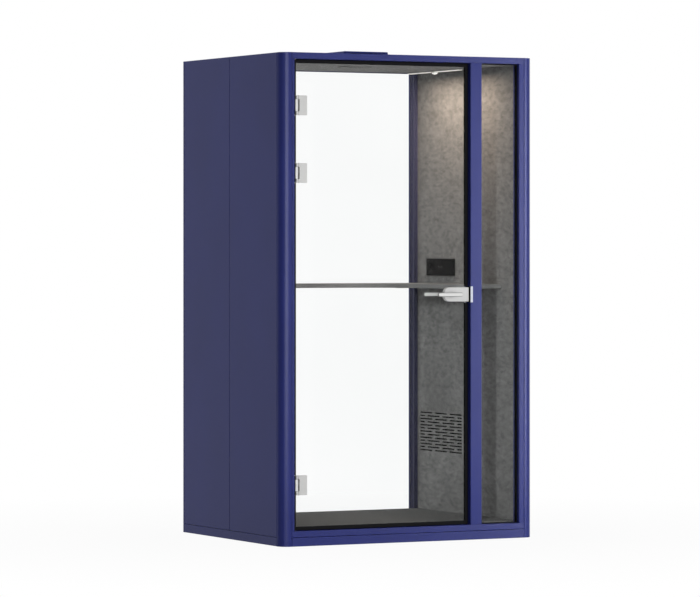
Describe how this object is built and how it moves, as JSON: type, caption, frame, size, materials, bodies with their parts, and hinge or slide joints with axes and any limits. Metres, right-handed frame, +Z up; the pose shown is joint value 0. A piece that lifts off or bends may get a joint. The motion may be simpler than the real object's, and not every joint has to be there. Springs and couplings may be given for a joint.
{
  "type": "acoustic office pod",
  "caption": "Acoustic office pod with rounded corner posts, hinged glass door with lever lock, glazed sidelight and rear, felt-lined cabin, wrap-around desk, ceiling lamp and roof fan.",
  "frame": {"origin": "on the floor under the middle of the footprint, at the sole of the middle levelling foot", "axes": "+Z up, +X to the right seen from the door side, +Y from the door to the rear glass"},
  "size_m": [1.35, 1.167, 2.336],
  "materials": {
    "frame_paint": "satin indigo powder coat",
    "roof_board": "painted board",
    "deck_board": "raw plywood",
    "carpet": "low loop pile",
    "felt": "pressed felt",
    "insulation": "fibre board faced with black fleece",
    "clear_glass": "polished",
    "black_rubber": "matte",
    "black_trim": "matte black",
    "grey_paint": "fine matte",
    "satin_steel": "satin",
    "satin_case": "satin",
    "dark_steel": "black coated",
    "bright_steel": "bright",
    "desk_laminate": "matte laminate",
    "panel_plastic": "fine matte",
    "fan_plastic": "moulded",
    "white_plastic": "satin",
    "lamp_metal": "anodised",
    "lamp_opal": "opal"
  },
  "bodies": {
    "pod": {"post_front_left": "frame_paint", "post_front_right": "frame_paint", "post_rear_left": "frame_paint", "post_rear_right": "frame_paint", "front_top_rail": "frame_paint", "front_bottom_rail": "frame_paint", "front_hinge_jamb": "frame_paint", "front_sidelight_jamb": "frame_paint", "front_mullion": "frame_paint", "rear_top_rail": "frame_paint", "rear_bottom_rail": "frame_paint", "rear_left_jamb": "frame_paint", "rear_right_jamb": "frame_paint", "left_panel_front": "frame_paint", "left_panel_rear": "frame_paint", "right_panel_front": "frame_paint", "right_panel_rear": "frame_paint", "base_front_beam": "frame_paint", "base_rear_beam": "frame_paint", "base_left_beam": "frame_paint", "base_right_beam": "frame_paint", "base_cross_beam": "frame_paint", "fan_cowl": "frame_paint", "roof_panel": "roof_board", "floor_deck": "deck_board", "floor_carpet": "carpet", "left_felt_lining": "felt", "right_felt_lining": "felt", "ceiling_panel": "felt", "wall_insulation": "insulation", "sidelight_glass": "clear_glass", "rear_glass": "clear_glass", "glazing_gaskets": "black_rubber", "levelling_feet": "black_rubber", "door_stop_strips": "black_trim", "desk_brackets": "grey_paint", "ceiling_vent": "grey_paint", "hinge_wall_brackets": "dark_steel", "strike_plate": "bright_steel", "desk_top": "desk_laminate", "power_panel": "panel_plastic", "outlet_modules": "panel_plastic", "fan_housing": "fan_plastic", "cable_gland": "fan_plastic", "motion_sensor": "white_plastic", "lamp_housing": "lamp_metal", "lamp_diffuser": "lamp_opal"},
    "door": {"door_glass": "clear_glass", "door_edge_seals": "black_rubber", "hinge_clamps": "satin_steel", "hinge_pins": "satin_steel", "lock_case_outer": "satin_case", "lock_case_inner": "satin_case"},
    "lever_set": {"lever_outer": "satin_steel", "lever_inner": "satin_steel", "lock_spindle": "satin_steel"},
    "latch": {"latch_bolt": "satin_steel"},
    "light_switch": {"light_rocker": "panel_plastic"},
    "fan_switch": {"fan_rocker": "panel_plastic"},
    "fan_blades": {"fan_rotor": "fan_plastic"}
  },
  "joints": [
    {"name": "door_swing", "type": "hinge", "parent": "pod", "child": "door", "pos_m": [-0.583, -0.53, 1.2], "axis": [0, 0, -1], "range_deg": [0, 90]},
    {"name": "lever_turn", "type": "hinge", "parent": "door", "child": "lever_set", "pos_m": [0.254, -0.53, 1.1685], "axis": [0, -1, 0], "range_deg": [0, 45], "stiffness_Nm_per_rad": 3, "springref_deg": -20.05},
    {"name": "latch_slide", "type": "slide", "parent": "door", "child": "latch", "axis": [1, 0, 0], "range_m": [-0.012, 0]},
    {"name": "light_rock", "type": "hinge", "parent": "pod", "child": "light_switch", "pos_m": [0.6085, 0.1805, 1.294], "axis": [0, 1, 0], "range_deg": [0, 6]},
    {"name": "fan_rock", "type": "hinge", "parent": "pod", "child": "fan_switch", "pos_m": [0.6085, 0.141, 1.294], "axis": [0, 1, 0], "range_deg": [0, 6]},
    {"name": "fan_spin", "type": "hinge", "parent": "pod", "child": "fan_blades", "pos_m": [0, 0, 2.31], "axis": [0, 0, 1], "continuous": true}
  ],
  "couplings": [
    {"joint": "latch_slide", "follows": "lever_turn", "m_per_rad": -0.0152}
  ]
}
